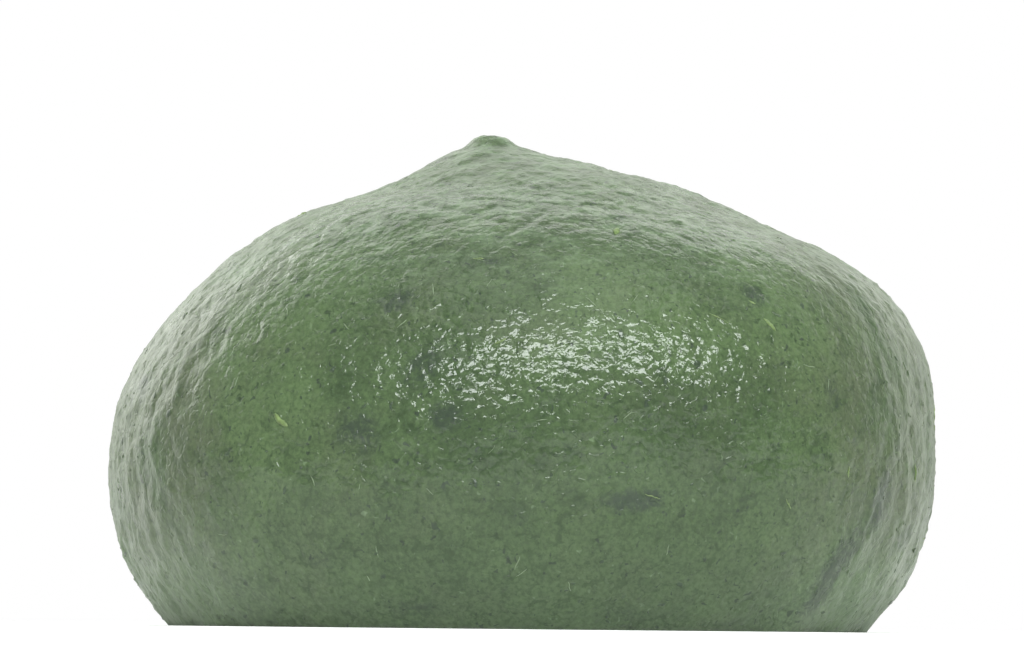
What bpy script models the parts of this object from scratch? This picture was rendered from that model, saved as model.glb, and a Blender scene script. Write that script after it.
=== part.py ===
"""Kusa mochi: one hand-shaped rice cake of soft green dough.

The cake stands on a flat base. Its side is tucked in at the bottom, bulges into a belly, turns
over a shoulder and climbs a gentle slope to a small button, where the dough was pinched off.
It is a single solid, its bounding box is centred on the origin, and +Z is up.

Every size that differs round the cake is given for four directions, seen from the tip's axis:
right (+X), back (+Y), left (-X) and front (-Y).
"""

import math
from typing import NamedTuple

import bmesh
import bpy

MM = 0.001

# Driving sizes
WIDTH = 60.0 * MM  # along X
DEPTH = 57.0 * MM  # along Y
HEIGHT = 35.8 * MM
TIP_SHIFT = 2.6 * MM  # the tip stands this far to the left of the middle

HALF_WIDTH = WIDTH / 2
HALF_DEPTH = DEPTH / 2

# The button at the tip
TIP_RADIUS = 2.0 * MM
TIP_HEIGHT = 0.85 * MM

# The side below the belly
TUCK_ROUNDING = 2.4  # how full the side stays before it turns in to the base

# Mesh
SEGMENTS = 120
TUCK_RINGS = 8
DOME_RINGS = 22
TIP_RINGS = 5
TIP_CROWDING = 1.6  # above 1, the button's rings crowd towards its edge


class Compass(NamedTuple):
    """A size that changes smoothly round the cake between its values in four directions."""

    right: float
    back: float
    left: float
    front: float

    def at(self, angle):
        """The size at an angle in radians, counted from +X towards +Y."""
        mean = (self.right + self.back + self.left + self.front) / 4
        sideways = (self.right - self.left) / 2
        backwards = (self.back - self.front) / 2
        oval = (self.right + self.left - self.back - self.front) / 4
        return mean + sideways * math.cos(angle) + backwards * math.sin(angle) + oval * math.cos(2 * angle)


def shares(size, right, back, left, front):
    """A compass of sizes that are shares of one driving size."""
    return Compass(size * right, size * back, size * left, size * front)


BELLY_REACH = Compass(HALF_WIDTH + TIP_SHIFT, HALF_DEPTH, HALF_WIDTH - TIP_SHIFT, HALF_DEPTH)
BELLY_HEIGHT = shares(HEIGHT, right=0.355, back=0.32, left=0.305, front=0.34)
TUCK_DEPTH = shares(HALF_WIDTH, right=0.173, back=0.165, left=0.147, front=0.16)
SHOULDER_LIFT = shares(HEIGHT, right=0.457, back=0.42, left=0.382, front=0.415)
SLOPE_LENGTH = shares(HALF_WIDTH, right=0.685, back=0.52, left=0.327, front=0.50)
SLOPE_ANGLE = Compass(*map(math.radians, (19.9, 19.5, 18.0, 19.5)))
NECK_HOLLOW = shares(HEIGHT, right=-0.023, back=0.004, left=0.026, front=0.003)
TIP_ROUNDING = Compass(right=2.2, back=3.2, left=5.0, front=3.4)  # flatness of the button's top
NECK_START = 0.585  # share of the way up the dome where the slope begins to hollow, or to fill out


class Swell(NamedTuple):
    """A slow swelling round the cake, which keeps it from looking turned on a lathe."""

    size: float
    waves: int
    turn: float  # degrees from +X to the middle of a swelling
    rise: float  # degrees that the swelling turns by from the base to the tip


SWELLS = (
    Swell(size=0.30 * MM, waves=3, turn=25.0, rise=40.0),
    Swell(size=0.22 * MM, waves=4, turn=-30.0, rise=-55.0),
    Swell(size=0.14 * MM, waves=7, turn=12.0, rise=25.0),
)


class Furrow(NamedTuple):
    """A shallow fold pressed into the side where the dough was gathered under the cake."""

    turn: float  # degrees from +X
    width: float  # degrees
    depth: float
    lean: float  # degrees that the fold turns by from the base up to its end
    top: float  # share of the height where it fades out


FURROWS = (
    Furrow(turn=-46.0, width=7.0, depth=0.30 * MM, lean=14.0, top=0.42),
    Furrow(turn=-30.0, width=6.0, depth=0.38 * MM, lean=11.0, top=0.50),
    Furrow(turn=-16.0, width=5.5, depth=0.30 * MM, lean=8.0, top=0.46),
    Furrow(turn=-2.0, width=6.0, depth=0.25 * MM, lean=6.0, top=0.38),
    Furrow(turn=58.0, width=7.0, depth=0.28 * MM, lean=-9.0, top=0.36),
    Furrow(turn=96.0, width=8.0, depth=0.32 * MM, lean=8.0, top=0.44),
    Furrow(turn=141.0, width=7.0, depth=0.24 * MM, lean=-6.0, top=0.34),
    Furrow(turn=190.0, width=6.0, depth=0.26 * MM, lean=-9.0, top=0.30),
    Furrow(turn=206.0, width=5.5, depth=0.30 * MM, lean=-12.0, top=0.36),
    Furrow(turn=220.0, width=6.0, depth=0.24 * MM, lean=-12.0, top=0.32),
)


def smooth_step(x):
    """0 below 0, 1 above 1, and an S curve between."""
    x = min(1.0, max(0.0, x))
    return x * x * (3 - 2 * x)


def bell(x):
    """1 at 0, falling smoothly to 0 at -1 and 1."""
    return smooth_step(1 - abs(x))


def cubic(p0, p1, p2, p3, t):
    """A point on a cubic curve in the plane."""
    weights = ((1 - t) ** 3, 3 * (1 - t) ** 2 * t, 3 * (1 - t) * t**2, t**3)
    return tuple(sum(w * p[i] for w, p in zip(weights, (p0, p1, p2, p3))) for i in (0, 1))


def tuck_point(angle, t):
    """(reach, height) on the side under the belly: t runs from 0 at the base to 1 at the belly."""
    inward = TUCK_DEPTH.at(angle) * (1 - t) ** TUCK_ROUNDING
    return BELLY_REACH.at(angle) - inward, BELLY_HEIGHT.at(angle) * t


def dome_point(angle, t):
    """(reach, height) on the dome: t runs from 0 at the belly to 1 at the button's foot."""
    belly = (BELLY_REACH.at(angle), BELLY_HEIGHT.at(angle))
    foot = (TIP_RADIUS, HEIGHT - TIP_HEIGHT)
    slope, length = SLOPE_ANGLE.at(angle), SLOPE_LENGTH.at(angle)
    shoulder = (belly[0], belly[1] + SHOULDER_LIFT.at(angle))
    brow = (foot[0] + length * math.cos(slope), foot[1] - length * math.sin(slope))
    reach, height = cubic(belly, shoulder, brow, foot, t)
    along_neck = max(0.0, (t - NECK_START) / (1 - NECK_START))
    return reach, height - NECK_HOLLOW.at(angle) * math.sin(math.pi * along_neck) ** 2


def tip_point(angle, t):
    """(reach, height) on the button: t runs from 0 at its foot to 1 at the top of the cake."""
    reach = TIP_RADIUS * (1 - t**TIP_CROWDING)
    return reach, HEIGHT - TIP_HEIGHT * (reach / TIP_RADIUS) ** TIP_ROUNDING.at(angle)


def swelling(angle, share):
    """How far the side stands out at a share of the height, from all the swells."""
    total = 0.0
    for swell in SWELLS:
        turned = angle - math.radians(swell.turn + swell.rise * share)
        total += swell.size * math.cos(swell.waves * turned)
    return total * math.sin(math.pi * min(1.0, 0.12 + 0.88 * share))


def folding(angle, share):
    """How far the side is pressed in at a share of the height, from all the furrows."""
    total = 0.0
    for furrow in FURROWS:
        middle = math.radians(furrow.turn + furrow.lean * share / furrow.top)
        across = math.remainder(angle - middle, math.tau) / math.radians(furrow.width)
        total += furrow.depth * bell(across) * (1 - smooth_step(share / furrow.top))
    return total


def ring(point_at):
    """One ring of points round the tip's axis, from a function that gives (reach, height) at an angle."""
    points = []
    for i in range(SEGMENTS):
        angle = math.tau * i / SEGMENTS
        reach, height = point_at(angle)
        share = height / HEIGHT
        reach += swelling(angle, share) - folding(angle, share)
        points.append((reach * math.cos(angle), reach * math.sin(angle), height))
    return points


def cake_rings():
    """All the rings, from the base's edge up to the one below the top point."""
    rings = [ring(lambda a, t=i / TUCK_RINGS: tuck_point(a, t)) for i in range(TUCK_RINGS)]
    rings += [ring(lambda a, t=i / DOME_RINGS: dome_point(a, t)) for i in range(DOME_RINGS)]
    for i in range(TIP_RINGS):
        points = []
        for k in range(SEGMENTS):
            angle = math.tau * k / SEGMENTS
            reach, height = tip_point(angle, i / TIP_RINGS)
            points.append((reach * math.cos(angle), reach * math.sin(angle), height))
        rings.append(points)
    return rings


def fit_to_size(bm):
    """Centres the shape over the origin and gives it the driving width and depth exactly."""
    for axis, size in ((0, WIDTH), (1, DEPTH)):
        low = min(v.co[axis] for v in bm.verts)
        high = max(v.co[axis] for v in bm.verts)
        for vert in bm.verts:
            vert.co[axis] = (vert.co[axis] - (low + high) / 2) * size / (high - low)


def cake_mesh():
    """The closed skin of the cake: rings joined by quads, a fan at the top and one flat base face."""
    bm = bmesh.new()
    rings = [[bm.verts.new(p) for p in points] for points in cake_rings()]
    top = bm.verts.new((0.0, 0.0, HEIGHT))
    for lower, upper in zip(rings, rings[1:]):
        for i in range(SEGMENTS):
            j = (i + 1) % SEGMENTS
            bm.faces.new((lower[i], lower[j], upper[j], upper[i]))
    for i in range(SEGMENTS):
        bm.faces.new((rings[-1][i], rings[-1][(i + 1) % SEGMENTS], top))
    base = bm.faces.new(reversed(rings[0]))
    fit_to_size(bm)
    bmesh.ops.recalc_face_normals(bm, faces=bm.faces)
    for face in bm.faces:
        face.smooth = face is not base
    mesh = bpy.data.meshes.new("rice_cake")
    bm.to_mesh(mesh)
    bm.free()
    return mesh


def dough_material():
    """Moist green rice dough, coloured by mugwort leaf."""
    material = bpy.data.materials.new("mugwort_dough")
    material.use_nodes = True
    shader = material.node_tree.nodes["Principled BSDF"]
    shader.inputs["Base Color"].default_value = (0.150, 0.215, 0.110, 1.0)
    shader.inputs["Roughness"].default_value = 0.38
    shader.inputs["Metallic"].default_value = 0.0
    shader.inputs["Subsurface Weight"].default_value = 0.3
    return material


def clear_scene():
    for obj in list(bpy.data.objects):
        bpy.data.objects.remove(obj, do_unlink=True)


def main():
    clear_scene()
    cake = bpy.data.objects.new("rice_cake", cake_mesh())
    cake.data.materials.append(dough_material())
    bpy.context.scene.collection.objects.link(cake)


main()
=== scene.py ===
"""Kusa mochi: the finished look of one hand-shaped green rice cake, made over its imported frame.

The skin is a fine grid draped over the CAD solid, which a node tree smooths and wrinkles. Scraps of
mugwort leaf, pale shreds of stem and hair-fine fibres lie in it. The cake stands on a pale floor.
"""

import math
import random
from typing import NamedTuple

import bmesh
import bpy
import numpy as np
from bpy.props import FloatProperty, FloatVectorProperty, IntProperty, PointerProperty
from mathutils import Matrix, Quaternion, Vector
from mathutils.bvhtree import BVHTree


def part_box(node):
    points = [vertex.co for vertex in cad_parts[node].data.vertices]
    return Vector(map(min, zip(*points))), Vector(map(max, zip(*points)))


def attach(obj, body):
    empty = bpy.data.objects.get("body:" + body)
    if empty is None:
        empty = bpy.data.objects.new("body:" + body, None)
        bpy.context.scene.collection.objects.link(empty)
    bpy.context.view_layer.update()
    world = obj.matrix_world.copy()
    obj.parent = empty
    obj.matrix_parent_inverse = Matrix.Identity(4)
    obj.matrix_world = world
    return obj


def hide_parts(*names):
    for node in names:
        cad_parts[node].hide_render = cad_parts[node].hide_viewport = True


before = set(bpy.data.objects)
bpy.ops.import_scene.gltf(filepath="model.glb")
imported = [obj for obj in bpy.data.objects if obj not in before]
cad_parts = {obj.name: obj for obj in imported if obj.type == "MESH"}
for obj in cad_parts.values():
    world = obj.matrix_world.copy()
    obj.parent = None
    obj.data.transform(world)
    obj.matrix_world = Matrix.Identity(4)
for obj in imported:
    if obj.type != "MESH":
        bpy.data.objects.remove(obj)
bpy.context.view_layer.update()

bl_info = {
    "name": "Kusa Mochi",
    "version": (1, 0, 0),
    "blender": (4, 5, 0),
    "location": "3D View > Sidebar > Mochi",
    "description": "Dresses the CAD rice cake in mugwort dough and sets a pale studio round it",
    "category": "Object",
}

MM = 0.001
NODE = "rice_cake"
BODY = "root"
SLOT = "mugwort_dough"
LOW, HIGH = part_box(NODE)
HEIGHT = HIGH.z - LOW.z

# Where the cake is looked at from: marks on its front are placed as seen from here
VIEWER = Vector((0.0, -420 * MM, LOW.z + 1 * MM))

# Where the draped grid looks out from, inside the dough
HEART = Vector((0.0, 0.0, LOW.z + 0.34 * HEIGHT))

# The draped grid
WALL_SHARE = 0.78  # rows in the wall for each column of the cap
FOOT_CLEARANCE = 0.02 * MM  # above the floor, where the outline of the base is looked for

# Attributes of the skin's points, which the node trees read
BRUISE, CREASE, PUSH = "bruise", "crease", "push"


# ---------------------------------------------------------------- sizes and colours


class DoughSettings(bpy.types.PropertyGroup):
    """Sizes and colours of the dough's skin."""

    columns: IntProperty(
        name="Columns",
        description="Quads along one side of the grid's cap",
        default=150,
        min=16,
        max=156,
    )
    smoothing: IntProperty(
        name="Smoothing",
        description="Passes that round off the flat faces of the solid",
        default=30,
        min=0,
    )
    swell_height: FloatProperty(
        name="Swell height",
        description="How far the slow swellings left by the hands rise and fall",
        default=0.10 * MM,
        subtype="DISTANCE",
    )
    swell_size: FloatProperty(
        name="Swell size",
        description="Width of one slow swelling",
        default=7.0 * MM,
        subtype="DISTANCE",
    )
    dimple_height: FloatProperty(
        name="Dimple height",
        description="Height of the dimples in the skin",
        default=0.36 * MM,
        subtype="DISTANCE",
    )
    dimple_size: FloatProperty(
        name="Dimple size",
        description="Width of one dimple",
        default=2.1 * MM,
        subtype="DISTANCE",
    )
    wrinkle_height: FloatProperty(
        name="Wrinkle height",
        description="Height of the creased wrinkles between the dimples",
        default=0.14 * MM,
        subtype="DISTANCE",
    )
    wrinkle_size: FloatProperty(
        name="Wrinkle size",
        description="Width of one wrinkle",
        default=1.5 * MM,
        subtype="DISTANCE",
    )
    pleat_height: FloatProperty(
        name="Pleat height",
        description="Height of the long upright pleats down the sides",
        default=0.33 * MM,
        subtype="DISTANCE",
    )
    pleat_size: FloatProperty(
        name="Pleat size",
        description="Width of one pleat",
        default=2.3 * MM,
        subtype="DISTANCE",
    )
    crease_depth: FloatProperty(
        name="Crease depth",
        description="Depth of the deepest thin line pressed into the front",
        default=0.10 * MM,
        subtype="DISTANCE",
    )
    crinkle_height: FloatProperty(
        name="Crinkle height",
        description="Height of the finest wrinkles, which break up the gloss",
        default=0.062 * MM,
        subtype="DISTANCE",
    )
    green: FloatVectorProperty(
        name="Dough green",
        description="Main colour of the dough",
        default=(0.049, 0.085, 0.033),
        subtype="COLOR",
        min=0.0,
        max=1.0,
    )
    pale_green: FloatVectorProperty(
        name="Pale green",
        description="Colour where the dough holds less leaf",
        default=(0.081, 0.132, 0.053),
        subtype="COLOR",
        min=0.0,
        max=1.0,
    )
    # Also the colour of painted shade: the lower middle of the front, the pressed thin lines and the
    # crinkle's valleys
    deep_green: FloatVectorProperty(
        name="Deep green",
        description="Colour where the dough holds more leaf",
        default=(0.028, 0.055, 0.020),
        subtype="COLOR",
        min=0.0,
        max=1.0,
    )
    # Also the colour of painted warm reflection: the stronger brown on the sides
    husk_and_warm_reflection: FloatVectorProperty(
        name="Husk brown",
        description="Colour of the faint brown patches",
        default=(0.086, 0.110, 0.058),
        subtype="COLOR",
        min=0.0,
        max=1.0,
    )
    # Also the colour of painted sheen: the pale streaks on the upper slope
    pale_tone_and_sheen: FloatVectorProperty(
        name="Starch bloom",
        description="Colour of the pale streaks on the upper slope",
        default=(0.185, 0.265, 0.155),
        subtype="COLOR",
        min=0.0,
        max=1.0,
    )
    stain: FloatVectorProperty(
        name="Leaf stain",
        description="Colour of a bruise round a lump of leaf under the skin",
        default=(0.026, 0.042, 0.029),
        subtype="COLOR",
        min=0.0,
        max=1.0,
    )
    roughness: FloatProperty(
        name="Roughness",
        description="Roughness of the moist skin",
        default=0.10,
        min=0.0,
        max=1.0,
        subtype="FACTOR",
    )
    dry_roughness: FloatProperty(
        name="Dry roughness",
        description="How much rougher the drier sides and the upper slope are",
        default=0.20,
        min=0.0,
        max=1.0,
        subtype="FACTOR",
    )


class LeafSettings(bpy.types.PropertyGroup):
    """Sizes and colours of the leaf in the dough."""

    scraps_per_area: FloatProperty(
        name="Scraps per square metre",
        description="How many scraps of leaf lie in a square metre of skin",
        default=150000.0,
        min=0.0,
    )
    scrap_size: FloatProperty(
        name="Scrap size",
        description="Half the width of the largest scrap of leaf",
        default=0.30 * MM,
        subtype="DISTANCE",
    )
    scrap: FloatVectorProperty(
        name="Leaf scrap",
        description="Colour of a dark scrap of leaf",
        default=(0.030, 0.050, 0.034),
        subtype="COLOR",
        min=0.0,
        max=1.0,
    )
    scrap_pale: FloatVectorProperty(
        name="Faded leaf scrap",
        description="Colour of a faded scrap of leaf",
        default=(0.075, 0.120, 0.060),
        subtype="COLOR",
        min=0.0,
        max=1.0,
    )
    shred: FloatVectorProperty(
        name="Stem shred",
        description="Colour of a shred of pale stem",
        default=(0.16, 0.235, 0.075),
        subtype="COLOR",
        min=0.0,
        max=1.0,
    )
    fibres: IntProperty(
        name="Fibres",
        description="How many hair-fine fibres lie in the skin",
        default=140,
        min=0,
    )
    fibre: FloatVectorProperty(
        name="Fibre",
        description="Colour of a hair-fine fibre",
        default=(0.15, 0.21, 0.11),
        subtype="COLOR",
        min=0.0,
        max=1.0,
    )
    seed: IntProperty(
        name="Seed",
        description="Changes where the leaf lies",
        default=11,
        min=0,
    )


class StageSettings(bpy.types.PropertyGroup):
    """Floor, lights and camera."""

    floor: FloatVectorProperty(
        name="Floor",
        description="Colour of the plain floor",
        default=(0.97, 0.97, 0.97),
        subtype="COLOR",
        min=0.0,
        max=1.0,
    )
    air: FloatProperty(
        name="Air light",
        description="Strength of the even light from all round",
        default=0.585,
        min=0.0,
    )
    strip: FloatProperty(
        name="Strip light",
        description="Power of the long light in front, which makes the highlight",
        default=1.84,
        min=0.0,
        subtype="POWER",
    )
    back: FloatProperty(
        name="Back light",
        description="Power of the wide light behind and above, which whitens the upper slope",
        default=1.1,
        min=0.0,
        subtype="POWER",
    )
    top: FloatProperty(
        name="Top light",
        description="Power of the wide light overhead",
        default=0.60,
        min=0.0,
        subtype="POWER",
    )
    left: FloatProperty(
        name="Left light",
        description="Power of the light at the left, which whitens that edge",
        default=0.48,
        min=0.0,
        subtype="POWER",
    )
    right: FloatProperty(
        name="Right light",
        description="Power of the light at the right, which whitens that edge",
        default=0.35,
        min=0.0,
        subtype="POWER",
    )
    distance: FloatProperty(
        name="Camera distance",
        description="From the camera to the middle of the cake",
        default=0.42,
        min=0.1,
        subtype="DISTANCE",
        unit="LENGTH",
    )
    camera_height: FloatProperty(
        name="Camera height",
        description="Height of the camera above the floor",
        default=0.4 * MM,
        subtype="DISTANCE",
        unit="LENGTH",
    )
    view_width: FloatProperty(
        name="View width",
        description="Width of what the camera sees at the middle of the cake",
        default=74.2 * MM,
        subtype="DISTANCE",
        unit="LENGTH",
    )
    roll: FloatProperty(
        name="Camera roll",
        description="How far the camera is turned about its own line of sight",
        default=math.radians(0.58),
        subtype="ANGLE",
        unit="ROTATION",
    )


# ---------------------------------------------------------------- wiring node trees


def live_socket(sockets, key):
    """The socket with this name, or at this place, among those that the node's settings leave on."""
    live = [socket for socket in sockets if socket.enabled]
    if isinstance(key, int):
        return live[key]
    return next(socket for socket in live if socket.name == key)


class Wire:
    """A value on its way through a node tree. Arithmetic on it adds Math nodes."""

    def __init__(self, bench, socket):
        self.bench = bench
        self.socket = socket

    def other(self, name):
        """Another output of the node that this value comes from."""
        return Wire(self.bench, live_socket(self.socket.node.outputs, name))

    def maths(self, operation, *values):
        """A Math node."""
        return self.bench.add("ShaderNodeMath", {"operation": operation}, dict(enumerate(values)))

    def __add__(self, other):
        return self.maths("ADD", self, other)

    def __sub__(self, other):
        return self.maths("SUBTRACT", self, other)

    def __rsub__(self, other):
        return self.maths("SUBTRACT", other, self)

    def __mul__(self, other):
        return self.maths("MULTIPLY", self, other)

    def __rtruediv__(self, other):
        return self.maths("DIVIDE", other, self)

    def __pow__(self, other):
        return self.maths("POWER", self, other)

    def __abs__(self):
        return self.maths("ABSOLUTE", self)

    __radd__ = __add__
    __rmul__ = __mul__

    def rise(self, low, high, start=0.0, end=1.0):
        """A smooth step from start to end while this value goes from low to high."""
        spans = {"Value": self, "From Min": low, "From Max": high, "To Min": start, "To Max": end}
        return self.bench.add("ShaderNodeMapRange", {"interpolation_type": "SMOOTHSTEP"}, spans)


class Bench:
    """A node tree being wired."""

    def __init__(self, tree):
        self.tree = tree

    def add(self, kind, settings=None, sockets=None):
        """Adds a node, its settings first, then its sockets' values or links. Gives its first output."""
        node = self.tree.nodes.new(kind)
        node.location.x = 200 * len(self.tree.nodes)
        for name, value in (settings or {}).items():
            setattr(node, name, value)
        for key, value in (sockets or {}).items():
            socket = live_socket(node.inputs, key)
            if isinstance(value, Wire):
                self.tree.links.new(value.socket, socket)
            elif socket.type == "RGBA":
                socket.default_value = (*value[:3], 1.0)
            else:
                socket.default_value = value
        return Wire(self, live_socket(node.outputs, 0)) if any(s.enabled for s in node.outputs) else None

    def noise(self, where, size, detail=2.0, roughness=0.5, distortion=0.0):
        """Cloudy noise between about 0 and 1, whose clouds are about this size."""
        sockets = {
            "Vector": where,
            "Scale": 1.0 / size,
            "Detail": detail,
            "Roughness": roughness,
            "Distortion": distortion,
        }
        return self.add("ShaderNodeTexNoise", {}, sockets)

    def vector(self, operation, *values, **named):
        """A Vector Math node."""
        sockets = dict(enumerate(values)) | named
        return self.add("ShaderNodeVectorMath", {"operation": operation}, sockets)

    def shifted(self, where, x, y, z):
        """The same places moved by millimetres, so that a second noise isn't the first one again."""
        return self.vector("ADD", where, (x * MM, y * MM, z * MM))

    def part(self, where, axis):
        """One coordinate of a place."""
        return self.add("ShaderNodeSeparateXYZ", {}, {"Vector": where}).other(axis)

    def from_front(self, where, near, far):
        """0 on the front, rising to 1 on the sides and the back, at these distances from the front."""
        level = self.vector("MULTIPLY", where, (1.0, 1.0, 0.0))
        return self.vector("DISTANCE", level, (0.0, LOW.y, 0.0)).other("Value").rise(near, far)


class Recipe(Bench):
    """A geometry node tree with named inputs."""

    def __init__(self, name, inputs):
        super().__init__(bpy.data.node_groups.new(name, "GeometryNodeTree"))
        face = self.tree.interface
        face.new_socket("Geometry", in_out="OUTPUT", socket_type="NodeSocketGeometry")
        for label, kind in {"Geometry": "Geometry", **inputs, "Material": "Material"}.items():
            face.new_socket(label, in_out="INPUT", socket_type="NodeSocket" + kind)
        self.start = self.add("NodeGroupInput")

    def given(self, label):
        """What the modifier's input of this name holds."""
        return self.start.other(label)

    def move(self, geometry, **sockets):
        """A Set Position node."""
        return self.add("GeometryNodeSetPosition", {}, {"Geometry": geometry, **sockets})

    def keep(self, geometry, name, value, kind="FLOAT"):
        """Writes a value to the geometry as an attribute."""
        sockets = {"Geometry": geometry, "Name": name, "Value": value}
        return self.add("GeometryNodeStoreNamedAttribute", {"data_type": kind}, sockets)

    def kept(self, name, kind="FLOAT"):
        """An attribute of the geometry."""
        return self.add("GeometryNodeInputNamedAttribute", {"data_type": kind}, {"Name": name})

    def lay_out(self, points, instance, turn, scale):
        """Copies of an instance on the points, as real geometry."""
        sockets = {"Points": points, "Instance": instance, "Rotation": turn, "Scale": scale}
        laid = self.add("GeometryNodeInstanceOnPoints", {}, sockets)
        return self.add("GeometryNodeRealizeInstances", {}, {"Geometry": laid})

    def jitter(self, where, size, detail=1.0, roughness=0.5):
        """A vector that wanders between about -0.5 and 0.5 along each axis."""
        cloud = self.noise(where, size, detail, roughness).other("Color")
        return self.vector("SUBTRACT", cloud, (0.5, 0.5, 0.5))

    def hand_over(self, geometry):
        """Ends the tree: real meshes only, in the given material."""
        whole = self.add("GeometryNodeRealizeInstances", {}, {"Geometry": geometry})
        dressed = {"Geometry": whole, "Material": self.given("Material")}
        self.add("NodeGroupOutput", {}, {"Geometry": self.add("GeometryNodeSetMaterial", {}, dressed)})
        return self.tree


def follow_recipe(piece, tree, values):
    """Runs a tree on a piece with these inputs, and keeps what it makes as the piece's own mesh."""
    modifier = piece.modifiers.new(tree.name, "NODES")
    modifier.node_group = tree
    for item in tree.interface.items_tree:
        if item.in_out == "INPUT" and item.name in values:
            modifier[item.identifier] = values[item.name]
    bpy.context.view_layer.update()
    depsgraph = bpy.context.evaluated_depsgraph_get()
    made = bpy.data.meshes.new_from_object(piece.evaluated_get(depsgraph), depsgraph=depsgraph)
    if not made.polygons:
        raise RuntimeError(f"{piece.name}: the node tree made no faces")
    piece.modifiers.remove(modifier)
    start = piece.data
    piece.data = made
    made.name = piece.name
    bpy.data.meshes.remove(start)


def new_piece(name, data):
    """A mesh, a light or a camera, put in the scene."""
    piece = bpy.data.objects.new(name, data)
    bpy.context.scene.collection.objects.link(piece)
    return piece


def settle(piece):
    """Says what a finished piece rides on."""
    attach(piece, BODY)


# ---------------------------------------------------------------- the skin


def solid_surface():
    """The CAD solid as something to cast rays at."""
    bm = bmesh.new()
    bm.from_mesh(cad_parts[NODE].data)
    bmesh.ops.remove_doubles(bm, verts=bm.verts, dist=0.001 * MM)
    surface = BVHTree.FromBMesh(bm)
    bm.free()
    return surface


def mesh_surface(mesh):
    """A mesh as something to cast rays at."""
    return BVHTree.FromPolygons([v.co for v in mesh.vertices], [p.vertices for p in mesh.polygons])


def cast(surface, start, direction):
    """Where a ray meets the surface."""
    point = surface.ray_cast(start, direction)[0]
    if point is None:
        raise RuntimeError("a ray from inside the cake missed its surface")
    return point


def heart_aim(turn, rise):
    """A direction from the heart: a turn from +X towards +Y, and a rise from level, in radians."""
    return Vector((math.cos(turn) * math.cos(rise), math.sin(turn) * math.cos(rise), math.sin(rise)))


def cap_directions(n):
    """Directions through a square grid overhead, row by row, at equal angles."""
    steps = [math.tan(math.pi / 4 * (2 * i / n - 1)) for i in range(n + 1)]
    return [Vector((u, v, 1.0)).normalized() for v in steps for u in steps]


def cap_edge(n):
    """Places of the cap's edge points in its list, anticlockwise from above."""
    row = n + 1
    front = list(range(n))
    right = [i * row + n for i in range(n)]
    back = [n * row + n - i for i in range(n)]
    left = [(n - i) * row for i in range(n)]
    return front + right + back + left


def cap_faces(n):
    """The cap's quads, each of four places in the cap's list of points."""
    row = n + 1
    corners = [r * row + c for r in range(n) for c in range(n)]
    return [(i, i + 1, i + row + 1, i + row) for i in corners]


def draped_mesh(n):
    """A closed mesh of quads over the solid: a square cap, a wall round it, and one flat base face."""
    surface = solid_surface()
    above = cap_directions(n)
    points = [cast(surface, HEART, d) for d in above]
    edge = cap_edge(n)
    faces = cap_faces(n)
    rows = round(WALL_SHARE * n)
    just_above = Vector((HEART.x, HEART.y, LOW.z + FOOT_CLEARANCE))
    turns = [math.atan2(above[i].y, above[i].x) for i in edge]
    foot = [cast(surface, just_above, heart_aim(turn, 0.0)) for turn in turns]
    foot = [Vector((p.x, p.y, LOW.z)) for p in foot]
    upper = edge
    for row in range(1, rows + 1):
        share = row / rows
        lower = range(len(points), len(points) + len(edge))
        for turn, i, p in zip(turns, edge, foot):
            highest = math.asin(above[i].z)
            lowest = math.atan2(LOW.z - HEART.z, math.hypot(p.x - HEART.x, p.y - HEART.y))
            aim = heart_aim(turn, highest + (lowest - highest) * share)
            points.append(p if row == rows else cast(surface, HEART, aim))
        for k in range(len(edge)):
            j = (k + 1) % len(edge)
            faces.append((upper[k], lower[k], lower[j], upper[j]))
        upper = lower
    faces.append(tuple(reversed(upper)))
    mesh = bpy.data.meshes.new("mochi_skin")
    mesh.from_pydata(points, [], faces)
    mesh.polygons.foreach_set("use_smooth", [True] * (len(faces) - 1) + [False])
    mesh.update()
    return mesh


class Mark(NamedTuple):
    """A bruise of leaf under the skin, on the front of the cake."""

    across: float  # mm to the right of the middle, as a viewer sees it
    up: float  # mm above the floor
    wide: float  # mm
    tall: float  # mm
    lean: float  # degrees, clockwise
    strength: float


MARKS = (
    Mark(across=-12.0, up=14.1, wide=2.1, tall=1.7, lean=20, strength=0.85),
    Mark(across=-5.6, up=15.3, wide=1.2, tall=1.0, lean=0, strength=1.25),
    Mark(across=-9.3, up=23.7, wide=1.8, tall=1.1, lean=-15, strength=0.90),
    Mark(across=-7.3, up=19.0, wide=1.3, tall=2.0, lean=30, strength=0.85),
    Mark(across=8.2, up=9.3, wide=2.2, tall=0.7, lean=-6, strength=1.50),
    Mark(across=16.8, up=24.5, wide=1.1, tall=0.9, lean=25, strength=1.20),
    Mark(across=6.8, up=29.9, wide=1.0, tall=0.8, lean=0, strength=0.60),
    Mark(across=22.6, up=17.5, wide=0.8, tall=1.5, lean=-20, strength=0.60),
    Mark(across=26.2, up=9.6, wide=1.15, tall=2.3, lean=16, strength=1.25),
    Mark(across=23.3, up=5.2, wide=1.25, tall=2.4, lean=30, strength=1.25),
    Mark(across=21.5, up=2.3, wide=1.1, tall=1.6, lean=20, strength=1.00),
    Mark(across=-14.7, up=4.8, wide=1.6, tall=1.3, lean=0, strength=0.45),
    Mark(across=-0.2, up=7.9, wide=1.6, tall=1.2, lean=40, strength=0.40),
    Mark(across=3.4, up=12.6, wide=1.2, tall=0.8, lean=15, strength=0.45),
    Mark(across=-7.1, up=1.3, wide=2.6, tall=0.8, lean=0, strength=0.50),
    Mark(across=7.0, up=1.1, wide=2.9, tall=0.7, lean=0, strength=0.50),
    Mark(across=-1.7, up=28.5, wide=1.8, tall=0.7, lean=-10, strength=0.35),
    Mark(across=-2.4, up=26.7, wide=0.9, tall=0.5, lean=10, strength=0.90),
)
HIDDEN_MARKS = 44  # more of them on the sides, the back and the top
HIDDEN_MARKS_SEED = 23
MARK_REACH = 3 * MM  # how deep a bruise goes, which keeps it from showing on the far side
DARKEST = 1.5  # the most that bruises may add up to


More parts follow.
